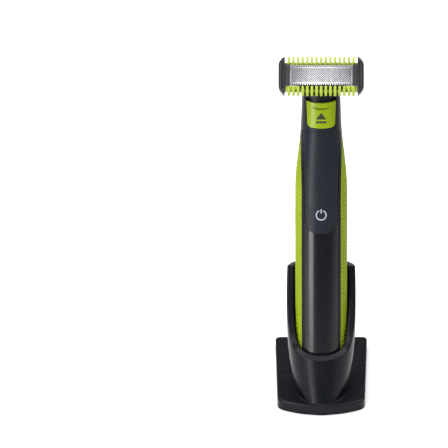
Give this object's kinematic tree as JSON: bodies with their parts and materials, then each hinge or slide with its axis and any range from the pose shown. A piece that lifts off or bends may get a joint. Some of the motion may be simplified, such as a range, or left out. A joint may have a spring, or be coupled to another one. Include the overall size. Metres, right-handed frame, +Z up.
{
  "type": "body groomer",
  "caption": "Cordless body groomer with a clip-on comb guard over a perforated foil blade, lime side grips and a leaning storage stand.",
  "frame": {"origin": "on the table, on the underside of the stand, under the middle of the cup's foot", "axes": "+Z up, the front of the groomer and stand faces -Y, +X to the right seen from the front"},
  "size_m": [0.0504, 0.0773, 0.1856],
  "materials": {
    "stand_plastic": "satin black, faint moulded grain",
    "housing_plastic": "satin dark charcoal",
    "panel_satin": "satin blue-grey charcoal",
    "cover_gloss": "polished black",
    "light_pipe": "translucent pale grey",
    "grip_rubber": "lime soft-touch, raised zigzag ribs",
    "lime_plastic": "lime, semi-gloss",
    "comb_plastic": "lime, semi-gloss",
    "icon_dark": "dark inlay",
    "frame_plastic": "glass-filled grey",
    "battery_case": "shrink-wrapped cell",
    "contact_brass": "tinned spring brass",
    "motor_steel": "bright steel",
    "lever_plastic": "white acetal",
    "board_green": "solder-masked board",
    "cartridge_black": "black moulding",
    "seal_rubber": "soft black seal",
    "foil_steel": "bright perforated steel",
    "cutter_steel": "ground steel",
    "bracket_plastic": "satin dark grey"
  },
  "bodies": {
    "stand": {"stand": "stand_plastic"},
    "handle": {"rear_housing": "housing_plastic", "lower_front_cover": "cover_gloss", "neck_frame": "panel_satin", "bottom_cap": "cover_gloss", "left_grip": "grip_rubber", "right_grip": "grip_rubber", "inner_frame": "frame_plastic", "battery_cell": "battery_case", "battery_contacts": "contact_brass", "motor_can": "motor_steel", "lever_pin": "motor_steel", "circuit_board": "board_green", "housing_screws": "motor_steel", "tact_switch": "cartridge_black", "status_led": "light_pipe", "charging_socket": "cartridge_black", "charging_pins": "contact_brass", "seal_ring": "seal_rubber", "blade_socket": "cartridge_black"},
    "power_button": {"front_panel": "panel_satin", "power_icon": "light_pipe"},
    "release": {"release_slide": "lime_plastic", "release_icon": "icon_dark"},
    "rotor": {"motor_shaft": "motor_steel", "eccentric_cam": "lever_plastic"},
    "lever": {"drive_lever": "lever_plastic"},
    "cartridge": {"blade_base": "cartridge_black", "foil": "foil_steel", "cutter_spring": "motor_steel", "left_end_cap": "cartridge_black", "right_end_cap": "cartridge_black"},
    "cutter_block": {"cutter": "cutter_steel", "cutter_carrier": "lever_plastic"},
    "guard": {"left_guard_bracket": "bracket_plastic", "right_guard_bracket": "bracket_plastic", "upper_comb": "comb_plastic", "lower_comb": "comb_plastic"}
  },
  "joints": [
    {"name": "groomer_lift", "type": "slide", "parent": "stand", "child": "handle", "axis": [0, 0.2924, 0.9563], "range_m": [0, 0.075]},
    {"name": "power_press", "type": "hinge", "parent": "handle", "child": "power_button", "pos_m": [0, 0.03117, 0.14558], "axis": [1, 0, 0], "range_deg": [0, 0.62], "stiffness_Nm_per_rad": 2, "springref_deg": -0.57},
    {"name": "release_push", "type": "slide", "parent": "handle", "child": "release", "axis": [0, 0.2924, 0.9563], "range_m": [0, 0.002], "stiffness_N_per_m": 400, "springref_m": -0.0005},
    {"name": "motor_spin", "type": "hinge", "parent": "handle", "child": "rotor", "pos_m": [0, 0.03231, 0.10655], "axis": [0, 0.2924, 0.9563], "continuous": true},
    {"name": "lever_swing", "type": "hinge", "parent": "handle", "child": "lever", "pos_m": [0, 0.04023, 0.13759], "axis": [0, 0.9563, -0.2924], "range_deg": [-2.55, 2.55]},
    {"name": "blade_pull", "type": "slide", "parent": "handle", "child": "cartridge", "axis": [0, 0.2924, 0.9563], "range_m": [0, 0.022]},
    {"name": "cutter_stroke", "type": "slide", "parent": "cartridge", "child": "cutter_block", "axis": [1, 0, 0], "range_m": [-0.00143, 0.00143]},
    {"name": "guard_pull", "type": "slide", "parent": "cartridge", "child": "guard", "axis": [0, -0.7431, 0.6691], "range_m": [0, 0.012]}
  ],
  "couplings": [
    {"joint": "cutter_stroke", "follows": "lever_swing", "m_per_rad": 0.032}
  ]
}
